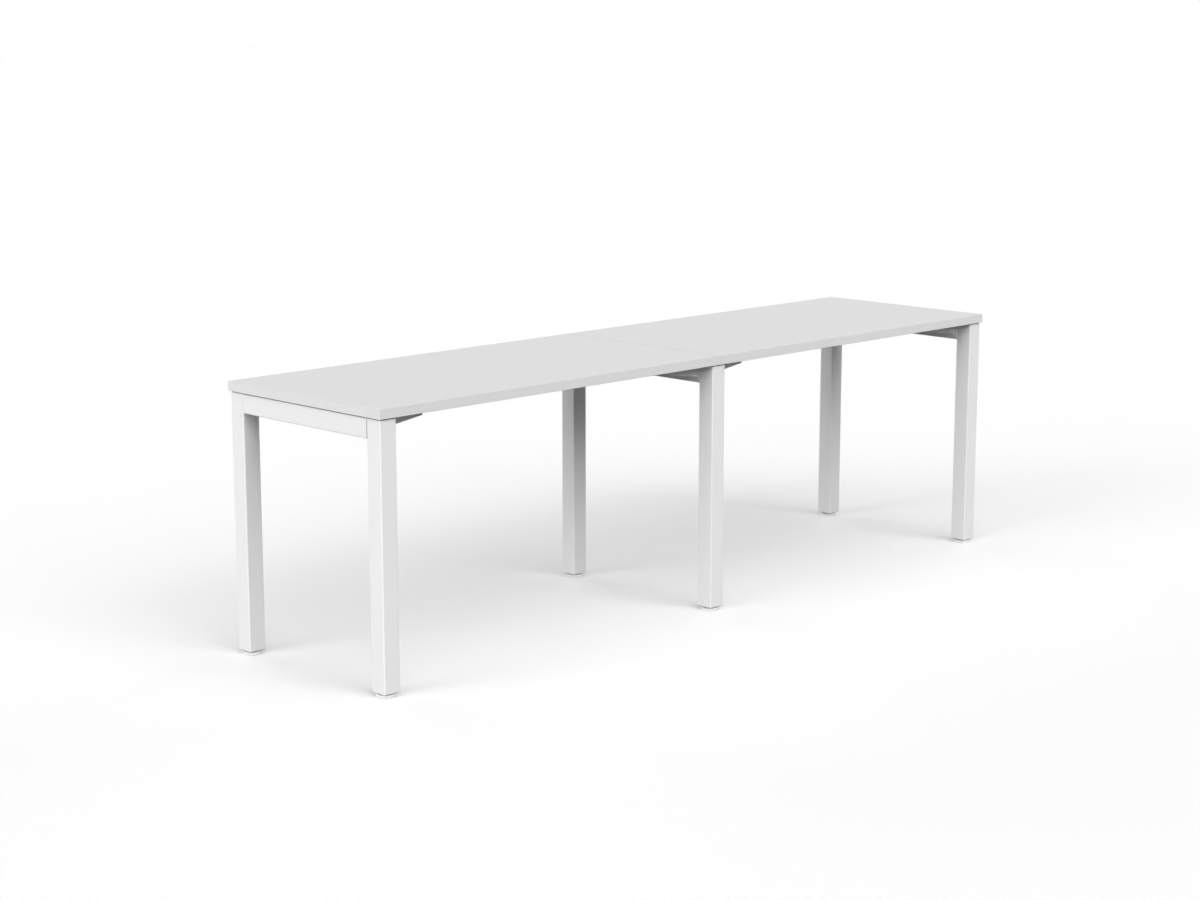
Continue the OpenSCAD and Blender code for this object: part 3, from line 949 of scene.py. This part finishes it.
def leg_insert(end, side):
    """Moulded insert in a leg's lower end: flange, square plug and a ribbed boss for the stud."""
    node = f"{end}_{side}_insert"
    low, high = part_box(node)
    leg_low, leg_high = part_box(f"{end}_{side}_leg")
    middle = (low + high) / 2
    bore = STUD_THREAD / 2 + RUN_GAP
    flange = ring_plate(low, Vector((high.x, high.y, leg_low.z)), TUBE_CORNER, MOULDED_ARRIS, bore)
    wall = TUBE_WALL + PLUG_GAP
    plug_low = Vector((leg_low.x + wall, leg_low.y + wall, leg_low.z - 0.0002))
    plug_high = Vector((leg_high.x - wall, leg_high.y - wall, high.z))
    plug = tube(plug_low, plug_high, "Z", PLUG_CORNER)
    soften(plug, MOULDED_ARRIS)
    depth = high.z - leg_low.z
    boss = turned([(bore, 0), (BOSS / 2, 0), (BOSS / 2, depth - 0.0004), (BOSS / 2 - 0.0004, depth),
                   (bore + 0.0004, depth), (bore, depth - 0.0004)])
    placed(boss, Vector((middle.x, middle.y, leg_low.z)))
    near, far = BOSS / 2 - 0.0005, (plug_high.x - plug_low.x) / 2 - PLUG_WALL + 0.0005
    rib = block(Vector((near, -RIB / 2, -0.0002)), Vector((far, RIB / 2, depth - 0.001)))
    seat = Vector((middle.x, middle.y, leg_low.z))
    quarters = [(seat, Matrix.Rotation(quarter * math.pi / 2, 3, "Z")) for quarter in range(4)]
    moulding = joined(flange, plug, boss, copies(rib, quarters))
    dress(f"{node}_moulding", moulding, "grey_insert_plastic", "desk", node)


def foot_pad(end, side):
    """Round moulded pad with a rolled rim, a shallow dished top and a pocket for the stud's plate."""
    node = f"{end}_{side}_foot_pad"
    low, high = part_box(node)
    radius, height = (high.x - low.x) / 2, high.z - low.z
    neck = STUD_THREAD / 2 + RUN_GAP
    pocket = STUD_PLATE / 2 + RUN_GAP
    pocket_top = PAD_FLOOR + STUD_PLATE_THICK + 2 * RUN_GAP
    outline = [(0, PAD_HOLLOW), (radius - PAD_RIM - 0.0006, PAD_HOLLOW), (radius - PAD_RIM, 0)]
    outline += arc((radius - PAD_BEVEL, PAD_BEVEL), PAD_BEVEL, -90, 0, 4)
    outline += arc((radius - PAD_ROUND, height - PAD_ROUND), PAD_ROUND, 0, 90, 10)
    outline += [(radius - PAD_RIM - 0.0004, height), (radius - PAD_RIM - 0.0012, height - PAD_DISH),
                (PAD_HUB + 0.0008, height - PAD_DISH), (PAD_HUB, height)]
    outline += [(neck + 0.0003, height), (neck, height - 0.0003), (neck, pocket_top)]
    outline += [(pocket, pocket_top), (pocket, PAD_FLOOR), (0, PAD_FLOOR)]
    shape = placed(turned(outline, 96), Vector(((low.x + high.x) / 2, (low.y + high.y) / 2, low.z)))
    dress(f"{node}_moulding", shape, "white_foot_plastic", f"{end}_{side}_foot", node)


def foot_stud(end, side):
    """Levelling stud: turning plate, neck, chamfered hexagonal collar and a rolled thread."""
    node = f"{end}_{side}_foot_stud"
    low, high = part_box(node)
    collar_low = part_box(f"{end}_{side}_foot_pad")[1].z + RUN_GAP - low.z
    collar_high = collar_low + COLLAR_HEIGHT
    tip = high.z - low.z
    core = STUD_THREAD / 2 - THREAD_DEPTH * STUD_THREAD_PITCH
    plate, chamfer = STUD_PLATE / 2, STUD_PLATE_CHAMFER
    outline = [(0, 0), (plate - chamfer, 0), (plate, chamfer), (plate, STUD_PLATE_THICK - chamfer),
               (plate - chamfer, STUD_PLATE_THICK), (STUD_THREAD / 2, STUD_PLATE_THICK)]
    outline += [(STUD_THREAD / 2, collar_high + 0.0002), (core, collar_high + THREAD_POINT)]
    outline += [(core, tip - THREAD_POINT), (core - THREAD_POINT, tip), (0, tip)]
    body = turned(outline)
    collar = hexagon(COLLAR_ACROSS_FLATS, COLLAR_HEIGHT, chamfer=0.0004)
    placed(collar, UP * collar_low)
    thread = helix(core, STUD_THREAD / 2, STUD_THREAD_PITCH, collar_high + 0.0006, tip - 0.0006, 28)
    foot = Vector(((low.x + high.x) / 2, (low.y + high.y) / 2, low.z))
    shape = placed(joined(body, collar, thread), foot)
    dress(f"{node}_turned", shape, "zinc_plated_steel", f"{end}_{side}_stud", node)


# Studio

def seen_directly(nodes, links):
    """1 for camera, glossy and transmission rays, 0 for the light that reaches the desk."""
    path = nodes.new("ShaderNodeLightPath")
    last = path.outputs["Is Camera Ray"]
    for kind in ("Is Glossy Ray", "Is Transmission Ray"):
        either = nodes.new("ShaderNodeMath")
        either.operation = "MAXIMUM"
        links.new(last, either.inputs[0])
        links.new(path.outputs[kind], either.inputs[1])
        last = either.outputs["Value"]
    return last


def studio_floor():
    """Plain white floor that keeps the desk's soft shadow and throws little light back up."""
    shape = bmesh.new()
    bmesh.ops.create_grid(shape, x_segments=1, y_segments=1, size=FLOOR_REACH)
    mesh = bpy.data.meshes.new("studio_floor")
    shape.to_mesh(mesh)
    shape.free()
    finish = bpy.data.materials.new("studio_floor")
    finish.use_nodes = True
    nodes, links = finish.node_tree.nodes, finish.node_tree.links
    matt = nodes["Principled BSDF"]
    matt.inputs["Specular IOR Level"].default_value = 0.0
    matt.inputs["Roughness"].default_value = 1.0
    matt.inputs["Emission Color"].default_value = (1.0, 1.0, 1.0, 1.0)
    levels = ((FLOOR_BOUNCE, FLOOR_COLOUR, "Base Color"), (0.0, FLOOR_LIFT, "Emission Strength"))
    for low, high, socket in levels:
        level = nodes.new("ShaderNodeMapRange")
        level.inputs["To Min"].default_value = low
        level.inputs["To Max"].default_value = high
        links.new(seen_directly(nodes, links), level.inputs["Value"])
        links.new(level.outputs["Result"], matt.inputs[socket])
    mesh.materials.append(finish)
    floor = bpy.data.objects.new("studio_floor", mesh)
    bpy.context.scene.collection.objects.link(floor)


def studio_world():
    """White surroundings to the camera and in reflections; the lamps alone light the desk."""
    world = bpy.data.worlds.new("studio")
    bpy.context.scene.world = world
    world.use_nodes = True
    nodes, links = world.node_tree.nodes, world.node_tree.links
    nodes["Background"].inputs["Color"].default_value = (1.0, 1.0, 1.0, 1.0)
    links.new(seen_directly(nodes, links), nodes["Background"].inputs["Strength"])


def studio_lamp(name, bearing, height, strength, width):
    """Very wide sun, as soft as a large lit screen; its angles are in degrees."""
    data = bpy.data.lights.new(name, "SUN")
    data.energy = strength
    data.angle = math.radians(width)
    lamp = bpy.data.objects.new(name, data)
    turn, rise = math.radians(bearing), math.radians(height)
    toward = Vector((-math.cos(turn) * math.cos(rise), -math.sin(turn) * math.cos(rise), math.sin(rise)))
    lamp.rotation_euler = toward.to_track_quat("Z", "Y").to_euler()
    bpy.context.scene.collection.objects.link(lamp)


def photograph_camera():
    """Camera at the photograph's place and angle."""
    data = bpy.data.cameras.new("photograph")
    data.lens = LENS
    data.sensor_width = SENSOR
    data.sensor_fit = "HORIZONTAL"
    data.clip_start, data.clip_end = 0.1, 2 * FLOOR_REACH
    camera = bpy.data.objects.new("photograph", data)
    camera.location = CAMERA_PLACE
    camera.rotation_euler = (math.pi / 2 - CAMERA_TILT, 0, -CAMERA_TURN)
    bpy.context.scene.collection.objects.link(camera)
    bpy.context.scene.camera = camera


photograph_camera()
bpy.context.scene.view_settings.view_transform = "Standard"
studio_floor()
studio_world()
for lamp in LAMPS:
    studio_lamp(*lamp)

for bay in BAYS:
    worktop_board(bay)
    for edge in ("front", "rear", "end", "inner"):
        edge_band(bay, edge)
    for arm in arms_of(bay):
        support_arm(arm)
    for end in ENDS:
        beam(bay, end)
        beam_plates(bay, end)
    worktop_screws(bay)
for side in SIDES:
    rail(side)
    rail_joint_shade_lines(side)
    for end in ENDS:
        leg(end, side)
        leg_insert(end, side)
        foot_pad(end, side)
        foot_stud(end, side)
beam_bolts()
rivet_nuts()
beam_buffers()
leg_top_caps()
rail_top_strips()
